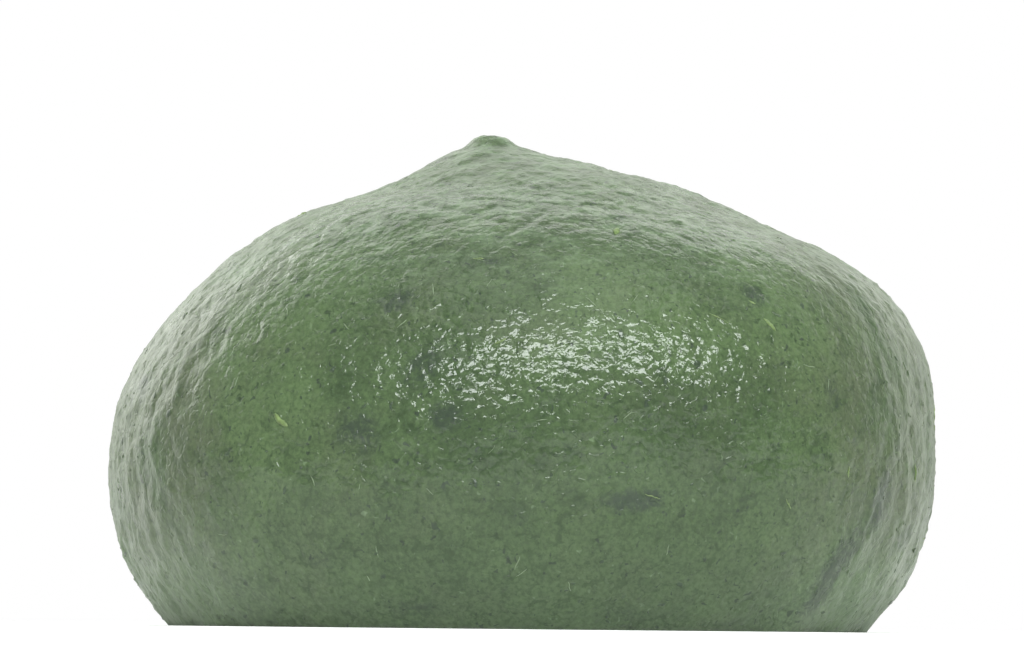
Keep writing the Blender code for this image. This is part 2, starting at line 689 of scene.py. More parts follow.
class Push(NamedTuple):
    """A broad place on the outline where a hand pressed the dough in or squeezed it out."""

    across: float  # mm to the right of the middle
    up: float  # mm above the floor
    wide: float  # mm
    lift: float  # mm outwards


PUSHES = (
    Push(across=-24.9, up=23.0, wide=4.2, lift=-0.42),
    Push(across=28.4, up=20.5, wide=5.5, lift=0.36),
    Push(across=3.8, up=34.0, wide=2.2, lift=0.26),
    Push(across=-8.4, up=32.6, wide=1.8, lift=-0.24),
)


class Crease(NamedTuple):
    """A thin line pressed into the front of the cake."""

    path: tuple  # (mm to the right of the middle, mm above the floor), from end to end
    width: float  # mm
    strength: float


CREASES = (
    Crease(path=((-0.8, 14.2), (-0.3, 11.4), (-0.7, 8.2)), width=0.34, strength=0.8),
    Crease(path=((1.9, 16.2), (0.5, 13.6), (0.9, 12.2), (2.2, 11.3)), width=0.30, strength=0.7),
    Crease(path=((3.6, 13.0), (5.6, 11.2), (6.3, 9.6)), width=0.28, strength=0.5),
    Crease(path=((-2.8, 27.1), (-1.5, 28.5), (0.1, 29.3), (1.0, 30.0)), width=0.26, strength=0.8),
)


def on_front(surface, across, up):
    """The place and the normal on the skin's front that a viewer sees at these millimetres right and up."""
    middle = Vector((across * MM, 0.0, LOW.z + up * MM))
    point, normal = surface.ray_cast(VIEWER, (middle - VIEWER).normalized())[:2]
    if point is None:
        raise RuntimeError(f"nothing of the cake's front is at {across}, {up}")
    return point, normal


def chance_place(surface, chance, first, last, lowest=-0.3):
    """A chance place on the skin, and its normal, between two turns in degrees from +X towards +Y.

    The sine of its rise is chosen evenly from the lowest one up, which spreads such places evenly.
    """
    turn = math.radians(chance.uniform(first, last))
    rise = math.asin(chance.uniform(lowest, 0.98))
    return surface.ray_cast(HEART, heart_aim(turn, rise))[:2]


def skin_frame(normal):
    """Unit vectors sideways and upwards along the skin, seen from outside."""
    side = Vector((0.0, 0.0, 1.0)).cross(normal)
    side = side.normalized() if side.length > 0.01 else Vector((1.0, 0.0, 0.0))
    return side, normal.cross(side)


def mark_spots(surface):
    """(place, normal, mark) of each bruise: those in front, then chance ones elsewhere."""
    spots = [(*on_front(surface, mark.across, mark.up), mark) for mark in MARKS]
    chance = random.Random(HIDDEN_MARKS_SEED)
    for _ in range(HIDDEN_MARKS):
        place, normal = chance_place(surface, chance, -25, 205)
        wide, tall = chance.uniform(0.6, 2.2), chance.uniform(0.6, 1.8)
        mark = Mark(0.0, 0.0, wide, tall, chance.uniform(-60, 60), chance.uniform(0.35, 0.85))
        spots.append((place, normal, mark))
    return spots


def bruising(surface, places):
    """How dark the leaf bruises make each place."""
    bruise = np.zeros(len(places), np.float32)
    for point, normal, mark in mark_spots(surface):
        side, upward = skin_frame(normal)
        away = places - np.array(point, np.float32)
        x, y = away @ np.array(side, np.float32), away @ np.array(upward, np.float32)
        lean = math.radians(mark.lean)
        along = (x * math.cos(lean) - y * math.sin(lean)) / (mark.wide * MM)
        over = (x * math.sin(lean) + y * math.cos(lean)) / (mark.tall * MM)
        deep = (away @ np.array(normal, np.float32)) / MARK_REACH
        bruise += mark.strength * np.exp(-(along**2) - over**2 - deep**2)
    return np.clip(bruise, 0.0, DARKEST)


def creasing(surface, places):
    """How deep the thin lines press each place, from 0 to 1."""
    crease = np.zeros(len(places), np.float32)
    for line in CREASES:
        knots = [np.array(on_front(surface, x, z)[0], np.float32) for x, z in line.path]
        for a, b in zip(knots, knots[1:]):
            t = np.clip((places - a) @ (b - a) / ((b - a) @ (b - a)), 0.0, 1.0)
            gap = np.linalg.norm(places - (a + t[:, None] * (b - a)), axis=1)
            crease = np.maximum(crease, line.strength * np.exp(-((gap / (line.width * MM)) ** 2)))
    return crease


def pushing(places):
    """How far the broad pushes move each place outwards, in metres."""
    push = np.zeros(len(places), np.float32)
    for p in PUSHES:
        middle = np.array((p.across * MM, 0.0, LOW.z + p.up * MM), np.float32)
        away = np.linalg.norm(places - middle, axis=1)
        push += p.lift * MM * np.exp(-((away / (p.wide * MM)) ** 2))
    return push


def press_marks(mesh):
    """Writes the bruises, the creases and the pushes to the mesh as attributes."""
    surface = mesh_surface(mesh)
    places = np.empty(len(mesh.vertices) * 3, np.float32)
    mesh.vertices.foreach_get("co", places)
    places = places.reshape(-1, 3)
    layers = {BRUISE: bruising(surface, places), CREASE: creasing(surface, places), PUSH: pushing(places)}
    for name, values in layers.items():
        mesh.attributes.new(name, "FLOAT", "POINT").data.foreach_set("value", values)


# What the skin's recipe takes from the dough settings of the same names
SKIN_SIZES = (
    "Swell Height",
    "Swell Size",
    "Dimple Height",
    "Dimple Size",
    "Wrinkle Height",
    "Wrinkle Size",
    "Pleat Height",
    "Pleat Size",
    "Crease Depth",
)


def skin_recipe():
    """Smooths the draped grid, then raises swellings, dimples, wrinkles and pleats on it."""
    sizes = dict.fromkeys(SKIN_SIZES, "Float")
    recipe = Recipe("dough skin", {"Smoothing": "Int", "Tip": "Vector", **sizes})
    where = recipe.add("GeometryNodeInputPosition")
    height = recipe.part(where, "Z")
    from_tip = recipe.vector("DISTANCE", where, recipe.given("Tip")).other("Value")
    near_floor = height.rise(0.0, 2.0 * MM)
    slack = near_floor * from_tip.rise(2.6 * MM, 6.0 * MM, 0.02, 1.0)
    blur = {"Value": where, "Iterations": recipe.given("Smoothing"), "Weight": slack}
    rounded = recipe.add("GeometryNodeBlurAttribute", {"data_type": "FLOAT_VECTOR"}, blur)
    skin = recipe.move(recipe.given("Geometry"), Position=rounded)

    def layer(name, shift, detail, distortion, squeeze=(1.0, 1.0, 1.0)):
        """Noise whose height and size are two of the recipe's inputs, as (noise, height)."""
        places = recipe.vector("MULTIPLY", recipe.shifted(where, *shift), squeeze)
        noise = recipe.noise(places, recipe.given(f"{name} Size"), detail, 0.5, distortion)
        return noise, recipe.given(f"{name} Height")

    sides = recipe.from_front(where, 20 * MM, 33 * MM)
    rough = sides.maths("MAXIMUM", sides, height.rise(25 * MM, 31 * MM)) * 0.5 + 0.7
    swell, swell_height = layer("Swell", (31, 7, 3), 1.0, 0.0)
    dimple, dimple_height = layer("Dimple", (5, 44, 9), 1.5, 0.4)
    wrinkle, wrinkle_height = layer("Wrinkle", (17, 2, 61), 2.0, 1.2)
    pleat, pleat_height = layer("Pleat", (3, 29, 14), 1.0, 0.3, (1.0, 1.0, 0.22))
    patch = recipe.noise(recipe.shifted(where, 71, 13, 8), 16 * MM, 1.0).rise(0.42, 0.62)
    raised = (swell - 0.5) * 2.0 * swell_height
    raised = raised + (dimple - 0.5) * dimple_height * rough
    raised = raised - (0.45 - abs(wrinkle - 0.5) * 5.0) * 0.5 * wrinkle_height * rough
    pleated = height.rise(23 * MM, 12 * MM) * (sides * 0.88 + 0.12)
    raised = raised - (0.40 - abs(pleat - 0.5) * 4.0) * pleat_height * pleated * (0.4 + 0.6 * patch)
    raised = raised * height.rise(0.1 * MM, 1.6 * MM)
    raised = raised + recipe.kept(PUSH) - recipe.kept(CREASE) * recipe.given("Crease Depth")
    outward = recipe.add("GeometryNodeInputNormal")
    skin = recipe.move(skin, Offset=recipe.vector("SCALE", outward, Scale=raised))
    return recipe.hand_over(skin)


class Finish(Bench):
    """A material being wired, on Object coordinates."""

    def __init__(self, name, **constants):
        self.material = bpy.data.materials.new(name)
        self.material.use_nodes = True
        super().__init__(self.material.node_tree)
        self.shader = self.tree.nodes["Principled BSDF"]
        for label, value in constants.items():
            self.shader.inputs[label.replace("_", " ")].default_value = value
        self.at = self.add("ShaderNodeTexCoord").other("Object")

    def blend(self, share, first, second, mode="MIX"):
        """Two colours mixed by a share."""
        settings = {"data_type": "RGBA", "blend_type": mode}
        return self.add("ShaderNodeMix", settings, {0: share, 1: first, 2: second})

    def attribute(self, name):
        """An attribute of the piece, as a number."""
        return self.add("ShaderNodeAttribute", {"attribute_name": name}).other("Fac")

    def along(self, axis):
        """The Object coordinate along an axis."""
        return self.part(self.at, axis)

    def sides(self):
        """0 on the front, rising to 1 on the sides and the back."""
        return self.from_front(self.at, 17 * MM, 27 * MM)

    def dryness(self):
        """0 on the moist front, rising to 1 on the sides, the back and the upper slope."""
        sides = self.sides()
        return sides.maths("MAXIMUM", sides, self.along("Z").rise(26 * MM, 33 * MM))

    def feed(self, label, value):
        """Links a value to one of the shader's sockets."""
        self.tree.links.new(value.socket, self.shader.inputs[label])

    def bump(self, height, distance):
        """Feeds a bump of this height to the shader's normal."""
        self.feed("Normal", self.add("ShaderNodeBump", {}, {"Height": height, "Distance": distance}))


def crinkle(finish):
    """Fine foil-like wrinkles and a few pimples, on the dough and on everything that lies in it."""
    warp = finish.noise(finish.at, 0.9 * MM, 2.0, 0.5).other("Color")
    warped = finish.vector("ADD", finish.at, finish.vector("SCALE", warp, Scale=0.8 * MM))
    cells = {"Vector": warped, "Scale": 1 / (0.74 * MM)}
    cells = finish.add("ShaderNodeTexVoronoi", {"feature": "F1"}, cells)
    creases = finish.noise(finish.at, 1.0 * MM, 2.0, 0.5, 0.8)
    finer = finish.noise(finish.shifted(finish.at, 4, 9, 2), 0.44 * MM, 1.5, 0.5, 0.5)
    pimple = finish.noise(finish.shifted(finish.at, 8, 1, 6), 0.50 * MM, 0.0).rise(0.64, 0.74)
    wrinkled = (1.0 - cells * cells) * 0.80 + (1.0 - abs(creases - 0.5) * 3.2) * 0.26 + finer * 0.22
    # About twice as deep on the brow of the front, and a little deeper where the skin is dry
    height = finish.along("Z")
    brow = height.rise(12 * MM, 17 * MM) * height.rise(30 * MM, 25 * MM) * (1.0 - finish.sides())
    return wrinkled * (finish.dryness() * 0.2 + brow * 0.95 + 0.9) + pimple * 0.5


# Constants of the shader, shared by the dough and all that lies wet in it
MOIST = {
    "IOR": 1.47,
    "Specular_IOR_Level": 0.60,
    "Subsurface_Weight": 0.22,
    "Subsurface_Radius": (1.0, 1.25, 0.6),
    "Subsurface_Scale": 0.9 * MM,
    "Sheen_Weight": 0.08,
    "Sheen_Roughness": 0.45,
    "Sheen_Tint": (0.72, 1.0, 0.60, 1.0),
}


def dough_colour(finish, look):
    """The dough's cloudy green with painted shade, sheen and warm reflection, the same at any place for
    whatever lies there: (colour, grain).
    """
    at = finish.at
    sides = finish.sides()
    height = finish.along("Z")

    # Clouds of more and less leaf, with faint brown patches everywhere; the stronger brown on the sides is
    # painted warm reflection
    cloud = finish.noise(at, 11 * MM, 2.0, 0.6)
    husk_and_warm_reflection = finish.noise(finish.shifted(at, 22, 5, 90), 6 * MM, 3.0, 0.6)
    colour = finish.blend(cloud.rise(0.38, 0.70), look.green, look.pale_green)
    brown_and_warm_reflection = husk_and_warm_reflection.rise(0.48, 0.66) * 0.25 + sides * husk_and_warm_reflection.rise(0.36, 0.52) * 0.5
    colour = finish.blend(brown_and_warm_reflection, colour, look.husk_and_warm_reflection)

    # Mottling, then the same again but finer
    mottle = finish.noise(finish.shifted(at, 9, 3, 40), 2.2 * MM, 3.0, 0.62, 0.3)
    pinch = finish.noise(finish.shifted(at, 2, 77, 4), 0.62 * MM, 3.0, 0.6, 0.5)
    colour = finish.blend(mottle.rise(0.47, 0.24) * 0.85, colour, look.deep_green)
    colour = finish.blend(mottle.rise(0.54, 0.74) * 0.55, colour, look.pale_green)
    colour = finish.blend(pinch.rise(0.58, 0.72) * 0.65, colour, look.pale_green)
    colour = finish.blend(pinch.rise(0.41, 0.29) * 0.85, colour, look.deep_green)

    # Painted shade: the lower middle of the front darker, towards deep green
    middle = finish.along("X").rise(-14 * MM, 2 * MM) * finish.along("X").rise(22 * MM, 10 * MM)
    middle = middle * height.rise(LOW.z + 20 * MM, LOW.z + 14 * MM)
    colour = finish.blend(middle * 0.36, colour, look.deep_green)

    # A paler foot, more so on the sides, and pale streaks on the upper slope, fainter on its front, which
    # are painted sheen
    foot = height.rise(LOW.z + 9 * MM, LOW.z + 1 * MM) * (sides * 0.30 + 0.17)
    colour = finish.blend(foot, colour, look.pale_tone_and_sheen)
    streaked = finish.vector("MULTIPLY", finish.shifted(at, 8, 50, 7), (1.0, 1.0, 2.6))
    painted_sheen_streak = finish.noise(streaked, 2.2 * MM, 5.0, 0.7, 0.5).rise(0.40, 0.68)
    slope = height.rise(20 * MM, 30 * MM) * finish.along("Y").rise(-8 * MM, -3 * MM, 0.6, 0.85)
    colour = finish.blend(painted_sheen_streak * slope, colour, look.pale_tone_and_sheen)

    # Dark and pale specks, and fine grain over all of it
    speck = finish.noise(finish.shifted(at, 33, 14, 5), 0.55 * MM, 1.5, 0.5, 0.6)
    colour = finish.blend(speck.rise(0.33, 0.27) * 0.75, colour, look.stain)
    colour = finish.blend(speck.rise(0.70, 0.78) * 0.4, colour, look.pale_tone_and_sheen)
    grain = finish.noise(finish.shifted(at, 60, 3, 4), 0.34 * MM, 3.0, 0.65)
    shade = finish.blend(grain.rise(0.30, 0.70), (0.76, 0.78, 0.76), (1.20, 1.18, 1.18))
    return finish.blend(1.0, colour, shade, "MULTIPLY"), grain


def dough_roughness(finish, look):
    """Moist in front, drier round the back, and patchy all over."""
    patch = finish.noise(finish.shifted(finish.at, 51, 6, 18), 2.4 * MM, 2.0, 0.6)
    return look.roughness + (patch - 0.5) * 0.14 + finish.dryness() * look.dry_roughness


def dough_finish(look):
    """Moist green dough: cloudy, flecked with leaf, bruised in places and finely crinkled, with painted
    shade in its thin lines and crinkle valleys.
    """
    finish = Finish(SLOT, **MOIST)
    colour = dough_colour(finish, look)[0]
    ragged = finish.noise(finish.shifted(finish.at, 7, 31, 22), 0.9 * MM, 4.0, 0.75, 1.2)
    bruise = finish.attribute(BRUISE) * ragged.rise(0.38, 0.62, 0.45, 1.30)
    colour = finish.blend(bruise.rise(0.08, 0.95) * 0.75, colour, look.stain)
    # Painted shade: the pressed thin lines darkened towards deep green
    colour = finish.blend(finish.attribute(CREASE) * 0.35, colour, look.deep_green)
    relief = crinkle(finish)
    # Painted shade: the crinkle's valleys darkened towards deep green
    painted_valley_shade = relief.rise(0.72, 0.48)
    colour = finish.blend(painted_valley_shade * 0.5, colour, look.deep_green)
    finish.feed("Base Color", colour)
    finish.feed("Roughness", dough_roughness(finish, look))
    finish.bump(relief, look.crinkle_height)
    return finish.material


def tip_aim():
    """From the heart of the cake to its highest point."""
    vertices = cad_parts[NODE].data.vertices
    tip = max((v.co for v in vertices), key=lambda p: p.z)
    return (tip - HEART).normalized()


class MOCHI_OT_skin(bpy.types.Operator):
    """Make the dough's skin, which stands for the CAD solid"""

    bl_idname = "mochi.skin"
    bl_label = "Dough Skin"

    def execute(self, context):
        look = context.scene.mochi_dough
        mesh = draped_mesh(look.columns)
        press_marks(mesh)
        skin = new_piece("mochi_skin", mesh)
        values = {label: getattr(look, label.lower().replace(" ", "_")) for label in SKIN_SIZES}
        values["Smoothing"] = look.smoothing
        values["Tip"] = cast(solid_surface(), HEART, tip_aim())
        values["Material"] = dough_finish(look)
        follow_recipe(skin, skin_recipe(), values)
        settle(skin)
        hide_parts(NODE)
        return {"FINISHED"}


# ---------------------------------------------------------------- leaf in the skin


def finished_skin():
    """The dough's skin, which the leaf lies in."""
    skin = bpy.data.objects.get("mochi_skin")
    if skin is None:
        raise RuntimeError("make the dough skin first")
    return skin


def scrap_recipe():
    """Scatters flat, ragged scraps in the skin, each with its own size, turn and tone."""
    recipe = Recipe("leaf scraps", {"Density": "Float", "Size": "Float", "Seed": "Int"})
    where = recipe.add("GeometryNodeInputPosition")
    height = recipe.part(where, "Z")
    crowd = recipe.noise(where, 9 * MM, 2.0).rise(0.35, 0.68, 0.35, 1.6)
    crowd = crowd * height.rise(26 * MM, 17 * MM, 0.08, 1.0)
    density = recipe.given("Density") * crowd * height.rise(0.4 * MM, 0.6 * MM)
    spread = {"Mesh": recipe.given("Geometry"), "Density": density, "Seed": recipe.given("Seed")}
    points = recipe.add("GeometryNodeDistributePointsOnFaces", {"distribute_method": "RANDOM"}, spread)
    lying = recipe.keep(points, "up", points.other("Normal"), "FLOAT_VECTOR")

    def chance(low, high, number):
        """A random value for each scrap."""
        sockets = {"Min": low, "Max": high, "Seed": number}
        return recipe.add("FunctionNodeRandomValue", {"data_type": "FLOAT"}, sockets)

    lying = recipe.keep(lying, "tone", chance(0.0, 1.0, 1))
    spin = {"Axis": (0.0, 0.0, 1.0), "Angle": chance(0.0, math.tau, 2)}
    spin = recipe.add("FunctionNodeAxisAngleToRotation", {}, spin)
    turn = {"Rotation": points.other("Rotation"), "Rotate By": spin}
    turn = recipe.add("FunctionNodeRotateRotation", {"rotation_space": "LOCAL"}, turn)
    size = recipe.given("Size") * (0.22 + 0.78 * chance(0.0, 1.0, 3) ** 3.0)
    thickness = 0.030 * MM + size * 0.10
    shape = {"X": size * chance(1.0, 1.7, 4), "Y": size * chance(0.5, 0.9, 5), "Z": thickness}
    shape = recipe.add("ShaderNodeCombineXYZ", {}, shape)
    ball = recipe.add("GeometryNodeMeshUVSphere", {}, {"Segments": 11, "Rings": 6, "Radius": 1.0})
    ball = recipe.keep(ball, "crown", abs(height))
    scraps = recipe.lay_out(lying, ball, turn, shape)
    # The outline is torn sideways only, so that a scrap stays flat on the skin
    up = recipe.kept("up", "FLOAT_VECTOR")
    rag = recipe.jitter(where, 0.26 * MM, 3.0, 0.65)
    upright = recipe.vector("DOT_PRODUCT", rag, up).other("Value")
    rag = recipe.vector("SUBTRACT", rag, recipe.vector("SCALE", up, Scale=upright))
    scraps = recipe.move(scraps, Offset=recipe.vector("SCALE", rag, Scale=0.36 * MM))
    smooth = {"Geometry": scraps, "Shade Smooth": True}
    return recipe.hand_over(recipe.add("GeometryNodeSetShadeSmooth", {}, smooth))


def scrap_finish(look, dough):
    """Leaf under a film of dough, from near black to a faded green, which fades out at its rim."""
    finish = Finish("leaf_scrap", **MOIST)
    around, grain = dough_colour(finish, dough)
    tone = finish.attribute("tone")
    leaf = finish.blend(tone.rise(0.30, 1.0), look.scrap, look.scrap_pale)
    inside = (finish.attribute("crown") + (grain - 0.5) * 0.9).rise(0.15, 0.95)
    finish.feed("Base Color", finish.blend(inside * 0.7, around, leaf))
    finish.feed("Roughness", dough_roughness(finish, dough))
    finish.bump(crinkle(finish), dough.crinkle_height)
    return finish.material


class MOCHI_OT_scraps(bpy.types.Operator):
    """Scatter scraps of mugwort leaf in the skin"""

    bl_idname = "mochi.scraps"
    bl_label = "Leaf Scraps"

    def execute(self, context):
        look = context.scene.mochi_leaf
        skin = finished_skin()
        scraps = new_piece("leaf_scraps", skin.data.copy())
        values = {
            "Density": look.scraps_per_area,
            "Size": look.scrap_size,
            "Seed": look.seed,
            "Material": scrap_finish(look, context.scene.mochi_dough),
        }
        follow_recipe(scraps, scrap_recipe(), values)
        settle(scraps)
        return {"FINISHED"}


class Shred(NamedTuple):
    """A shred of pale stem on the front of the cake."""

    across: float  # mm to the right of the middle
    up: float  # mm above the floor
    length: float  # mm
    width: float  # mm
    lean: float  # degrees from upright, clockwise


SHREDS = (
    Shred(across=-17.5, up=14.9, length=1.5, width=0.42, lean=-52),
    Shred(across=6.7, up=28.9, length=1.1, width=0.50, lean=4),
    Shred(across=17.9, up=22.2, length=1.1, width=0.34, lean=-28),
    Shred(across=16.6, up=23.8, length=0.6, width=0.18, lean=-50),
    Shred(across=23.7, up=11.6, length=0.8, width=0.20, lean=8),
    Shred(across=9.5, up=9.6, length=1.1, width=0.10, lean=-78),
    Shred(across=19.4, up=9.2, length=0.9, width=0.12, lean=-40),
    Shred(across=-3.3, up=26.8, length=0.8, width=0.16, lean=85),
    Shred(across=14.2, up=22.6, length=1.6, width=0.09, lean=-62),
    Shred(across=-1.6, up=20.8, length=0.9, width=0.20, lean=60),
)
HIDDEN_SHREDS = 26  # more of them on the sides, the back and the top


class Strand(NamedTuple):
    """Where a strand lies, in metres."""

    place: Vector
    heading: Vector
    length: float
    girth: float  # half its width


def strand_on(place, normal, length, width, lean):
    """A strand on the skin, from millimetres, that leans clockwise from upright by these degrees."""
    side, upward = skin_frame(normal)
    lean = math.radians(lean)
    heading = upward * math.cos(lean) + side * math.sin(lean)
    return Strand(place, heading, length * MM, width / 2 * MM)


def strand_points(name, strands):
    """A mesh of loose points, one in the middle of each strand."""
    mesh = bpy.data.meshes.new(name)
    mesh.from_pydata([s.place for s in strands], [], [])
    headings = np.array([s.heading for s in strands], np.float32)
    mesh.attributes.new("heading", "FLOAT_VECTOR", "POINT").data.foreach_set("vector", headings.ravel())
    for label in ("length", "girth"):
        values = np.array([getattr(s, label) for s in strands], np.float32)
        mesh.attributes.new(label, "FLOAT", "POINT").data.foreach_set("value", values)
    return mesh


def strand_recipe():
    """Lays a bent, tapered strand along the skin at each point."""
    looks = dict.fromkeys(("Bend", "Flatness", "Raggedness"), "Float")
    recipe = Recipe("strands", {"Skin": "Object", "Steps": "Int", **looks})
    line = {"Start": (-0.5, 0.0, 0.0), "End": (0.5, 0.0, 0.0)}
    line = recipe.add("GeometryNodeCurvePrimitiveLine", {}, line)
    line = recipe.add("GeometryNodeResampleCurve", {}, {"Curve": line, "Count": recipe.given("Steps")})
    heading = recipe.kept("heading", "FLOAT_VECTOR")
    turn = recipe.add("FunctionNodeAlignRotationToVector", {"axis": "X"}, {"Vector": heading})
    stretch = recipe.add("ShaderNodeCombineXYZ", {}, {"X": recipe.kept("length"), "Y": 1.0, "Z": 1.0})
    strands = recipe.lay_out(recipe.given("Geometry"), line, turn, stretch)
    where = recipe.add("GeometryNodeInputPosition")
    sway = recipe.jitter(where, 1.3 * MM)
    strands = recipe.move(strands, Offset=recipe.vector("SCALE", sway, Scale=recipe.given("Bend")))
    skin = {"Object": recipe.given("Skin")}
    skin = recipe.add("GeometryNodeObjectInfo", {"transform_space": "ORIGINAL"}, skin).other("Geometry")
    nearest = {"Geometry": skin, "Sample Position": where}
    nearest = recipe.add("GeometryNodeProximity", {"target_element": "FACES"}, nearest)
    strands = recipe.move(strands, Position=nearest)
    outward = recipe.add("GeometryNodeInputNormal")
    sample = {"Mesh": skin, "Value": outward, "Sample Position": where}
    outward = recipe.add("GeometryNodeSampleNearestSurface", {"data_type": "FLOAT_VECTOR"}, sample)
    upright = {"Curve": strands, "Normal": outward}
    strands = recipe.add("GeometryNodeSetCurveNormal", {"mode": "FREE"}, upright)
    along = recipe.add("GeometryNodeSplineParameter")
    taper = (1.0 - abs(along * 2.0 - 1.0) ** 3.0 * 0.75) * recipe.kept("girth")
    section = recipe.add("GeometryNodeCurvePrimitiveCircle", {}, {"Resolution": 6, "Radius": 1.0})
    flat = recipe.add("ShaderNodeCombineXYZ", {}, {"X": recipe.given("Flatness"), "Y": 1.0, "Z": 1.0})
    section = recipe.add("GeometryNodeTransform", {}, {"Geometry": section, "Scale": flat})
    sweep = {"Curve": strands, "Profile Curve": section, "Scale": taper, "Fill Caps": True}
    strands = recipe.add("GeometryNodeCurveToMesh", {}, sweep)
    rag = recipe.vector("SCALE", recipe.jitter(where, 0.22 * MM), Scale=recipe.given("Raggedness"))
    return recipe.hand_over(recipe.move(strands, Offset=rag))


def strand_finish(name, colour, height):
    """Wet plant fibre, a little uneven in tone."""
    finish = Finish(name, **MOIST)
    tone = finish.noise(finish.at, 0.6 * MM, 2.0, 0.6)
    shade = finish.blend(tone.rise(0.3, 0.7), (0.70, 0.74, 0.70), (1.2, 1.2, 1.2))
    finish.feed("Base Color", finish.blend(1.0, tuple(colour), shade, "MULTIPLY"))
    finish.feed("Roughness", 0.36 + (tone - 0.5) * 0.2)
    finish.bump(crinkle(finish), height)
    return finish.material


def stem_shreds(surface, chance):
    """The shreds of stem: those in front, then chance ones elsewhere."""
    strands = []
    for s in SHREDS:
        place, normal = on_front(surface, s.across, s.up)
        strands.append(strand_on(place, normal, s.length, s.width, s.lean))
    for _ in range(HIDDEN_SHREDS):
        place, normal = chance_place(surface, chance, -20, 200)
        length, width = chance.uniform(0.5, 1.6), chance.uniform(0.10, 0.34)
        strands.append(strand_on(place, normal, length, width, chance.uniform(0, 180)))
    return strands


def fine_fibres(surface, chance, number):
    """Hair-fine fibres at chance places all over the skin."""
    strands = []
    for _ in range(number):
        place, normal = chance_place(surface, chance, 0, 360, lowest=-0.34)
        length, width = chance.uniform(0.35, 1.2), chance.uniform(0.05, 0.09)
        strands.append(strand_on(place, normal, length, width, chance.uniform(0, 180)))
    return strands


class StrandForm(NamedTuple):
    """How one kind of strand lies in the skin."""

    steps: int  # points along it
    bend: float  # how far it may sway sideways
    flatness: float  # its thickness as a share of its width
    raggedness: float  # how far its outline may be torn


SHRED_FORM = StrandForm(steps=11, bend=0.3 * MM, flatness=0.45, raggedness=0.18 * MM)
FIBRE_FORM = StrandForm(steps=7, bend=0.6 * MM, flatness=0.8, raggedness=0.04 * MM)


class MOCHI_OT_strands(bpy.types.Operator):
    """Lay shreds of stem and hair-fine fibres in the skin"""

    bl_idname = "mochi.strands"
    bl_label = "Stem Shreds and Fibres"

    def execute(self, context):
        look = context.scene.mochi_leaf
        height = context.scene.mochi_dough.crinkle_height
        skin = finished_skin()
        surface = mesh_surface(skin.data)
        chance = random.Random(look.seed)
        recipe = strand_recipe()
        kinds = (
            ("stem_shreds", stem_shreds(surface, chance), SHRED_FORM, look.shred),
            ("fine_fibres", fine_fibres(surface, chance, look.fibres), FIBRE_FORM, look.fibre),
        )
        for name, strands, form, colour in kinds:
            piece = new_piece(name, strand_points(name, strands))
            values = {
                "Skin": skin,
                "Steps": form.steps,
                "Bend": form.bend,
                "Flatness": form.flatness,
                "Raggedness": form.raggedness,
                "Material": strand_finish(name, colour, height),
            }
            follow_recipe(piece, recipe, values)
            settle(piece)
        return {"FINISHED"}


# ---------------------------------------------------------------- the stage


class Lamp(NamedTuple):
    """A rectangular soft light, aimed at the middle of the cake, and where it stands round it."""

    azimuth: float  # degrees from the front towards the right
    elevation: float  # degrees
    distance: float  # metres
    size: tuple  # metres, across and up
    colour: tuple
    roll: float = 0.0  # degrees about its own aim


COOL, WARM = (0.95, 1.0, 0.98), (0.98, 1.0, 0.94)
LAMPS = {
    "strip": Lamp(12, 38.5, 0.45, (0.60, 0.084), COOL, roll=-3.5),
    "back": Lamp(195, 34, 0.60, (0.90, 0.50), WARM),
    "top": Lamp(0, 74, 0.50, (0.50, 0.50), WARM),
    "left": Lamp(-140, 14, 0.50, (0.35, 0.35), WARM),
    "right": Lamp(140, 10, 0.50, (0.35, 0.35), WARM),
}
MIDDLE = Vector((0.0, 0.0, LOW.z + HEIGHT / 2))
CAMERA_AIM = Vector((-0.8 * MM, 0.0, LOW.z + 21.8 * MM))
SENSOR_WIDTH = 36.0  # in the camera's own millimetres
FLOOR_WIDTH = 1.0


def around(azimuth, elevation, distance):
    """A place round the cake: azimuth from the front towards the right, both angles in degrees."""
    a, e = math.radians(azimuth), math.radians(elevation)
    return Vector((math.sin(a) * math.cos(e), -math.cos(a) * math.cos(e), math.sin(e))) * distance


def turned_to(start, aim, roll):
    """The turn of a light or a camera that looks from one place to another, rolled by radians."""
    return (aim - start).to_track_quat("-Z", "Y") @ Quaternion((0.0, 0.0, 1.0), roll)


def hang_lamp(name, lamp, power):
    """Makes a light, which the camera itself doesn't see."""
    light = bpy.data.lights.new(name, "AREA")
    light.shape = "RECTANGLE"
    light.size, light.size_y = lamp.size
    light.energy = power
    light.color = lamp.colour
    piece = new_piece(name, light)
    piece.location = around(lamp.azimuth, lamp.elevation, lamp.distance)
    piece.rotation_mode = "QUATERNION"
    piece.rotation_quaternion = turned_to(piece.location, MIDDLE, math.radians(lamp.roll))
    piece.visible_camera = False


def pale_world(strength):
    """White behind the cake, and soft light from all round, weaker from low behind and from the right."""
    world = bpy.data.worlds.new("pale_air")
    world.use_nodes = True
    bench = Bench(world.node_tree)
    seen = bench.add("ShaderNodeLightPath").other("Is Camera Ray")
    towards = bench.add("ShaderNodeTexCoord").other("Generated")
    low = bench.part(towards, "Z").rise(0.60, 0.10)
    behind = bench.part(towards, "Y").rise(0.30, 0.95) * low
    before = bench.part(towards, "Y").rise(-0.20, -0.90) * low
    right = bench.part(towards, "X").rise(0.0, 0.9)
    light = (1.0 - behind * 0.65 + before * 0.20 - right * 0.15) * strength
    sky = world.node_tree.nodes["Background"].inputs
    sky["Color"].default_value = (1.0, 1.0, 1.0, 1.0)
    world.node_tree.links.new((seen * (1.0 - light) + light).socket, sky["Strength"])
    bpy.context.scene.world = world


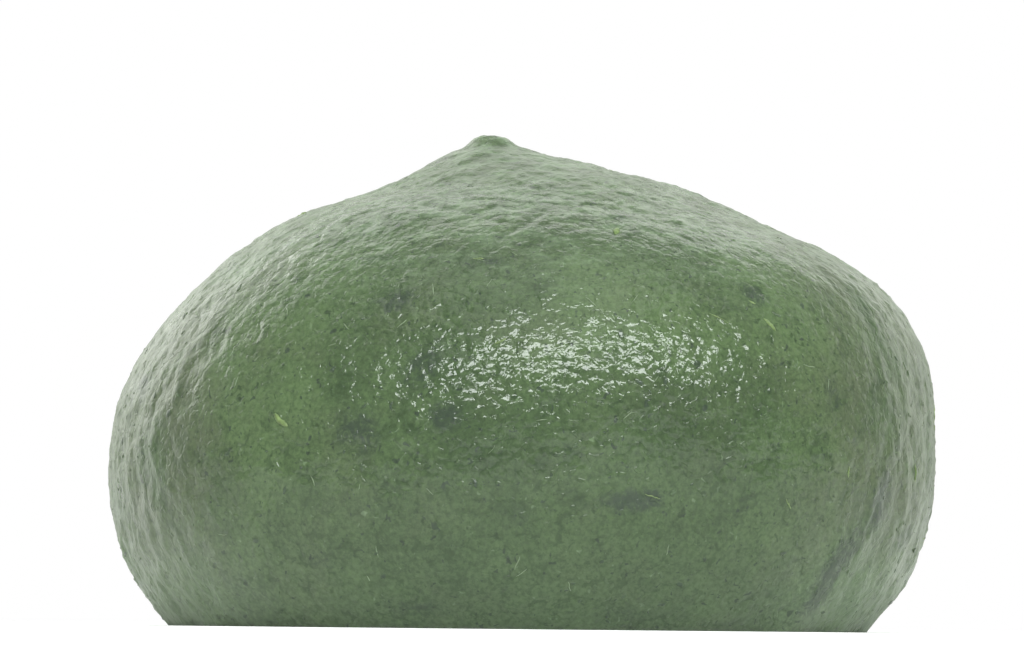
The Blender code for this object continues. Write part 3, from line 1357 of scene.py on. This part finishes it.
def pale_floor(colour):
    """A plain matt square under the cake."""
    mesh = bpy.data.meshes.new("floor")
    half = FLOOR_WIDTH / 2
    corners = [(-half, -half, LOW.z), (half, -half, LOW.z), (half, half, LOW.z), (-half, half, LOW.z)]
    mesh.from_pydata(corners, [], [(0, 1, 2, 3)])
    floor = new_piece("floor", mesh)
    finish = Finish("pale_floor", Base_Color=(*colour, 1.0), Roughness=1.0, Specular_IOR_Level=0.0)
    mesh.materials.append(finish.material)


class MOCHI_OT_stage(bpy.types.Operator):
    """Set the floor, the lights and the camera"""

    bl_idname = "mochi.stage"
    bl_label = "Stage"

    def execute(self, context):
        look = context.scene.mochi_stage
        pale_world(look.air)
        pale_floor(look.floor)
        for name, lamp in LAMPS.items():
            hang_lamp(f"{name}_light", lamp, getattr(look, name))
        camera = bpy.data.cameras.new("camera")
        camera.sensor_width = SENSOR_WIDTH
        camera.lens = SENSOR_WIDTH * look.distance / look.view_width
        camera.clip_start, camera.clip_end = 0.01, 10.0
        eye = new_piece("camera", camera)
        eye.location = (0.0, -look.distance, LOW.z + look.camera_height)
        eye.rotation_mode = "QUATERNION"
        eye.rotation_quaternion = turned_to(eye.location, CAMERA_AIM, look.roll)
        context.scene.camera = eye
        context.scene.view_settings.view_transform = "Standard"
        return {"FINISHED"}


# ---------------------------------------------------------------- panel and registration


class MOCHI_PT_panel(bpy.types.Panel):
    """The steps that make the cake, in order, with their sizes and colours"""

    bl_label = "Kusa Mochi"
    bl_space_type = "VIEW_3D"
    bl_region_type = "UI"
    bl_category = "Mochi"

    def draw(self, context):
        groups = (
            (context.scene.mochi_dough, (MOCHI_OT_skin,)),
            (context.scene.mochi_leaf, (MOCHI_OT_scraps, MOCHI_OT_strands)),
            (context.scene.mochi_stage, (MOCHI_OT_stage,)),
        )
        for settings, steps in groups:
            box = self.layout.box()
            for name in settings.__annotations__:
                box.prop(settings, name)
            for step in steps:
                box.operator(step.bl_idname)


STEPS = (MOCHI_OT_skin, MOCHI_OT_scraps, MOCHI_OT_strands, MOCHI_OT_stage)
CLASSES = (DoughSettings, LeafSettings, StageSettings, *STEPS, MOCHI_PT_panel)


def register():
    """Registers the settings, the steps and the panel."""
    for cls in CLASSES:
        bpy.utils.register_class(cls)
    bpy.types.Scene.mochi_dough = PointerProperty(type=DoughSettings)
    bpy.types.Scene.mochi_leaf = PointerProperty(type=LeafSettings)
    bpy.types.Scene.mochi_stage = PointerProperty(type=StageSettings)


def unregister():
    """Takes away all that register adds."""
    for name in ("mochi_dough", "mochi_leaf", "mochi_stage"):
        delattr(bpy.types.Scene, name)
    for cls in reversed(CLASSES):
        bpy.utils.unregister_class(cls)


def main():
    """Makes the whole scene in order."""
    register()
    bpy.ops.mochi.skin()
    bpy.ops.mochi.scraps()
    bpy.ops.mochi.strands()
    bpy.ops.mochi.stage()


if __name__ == "__main__":
    main()
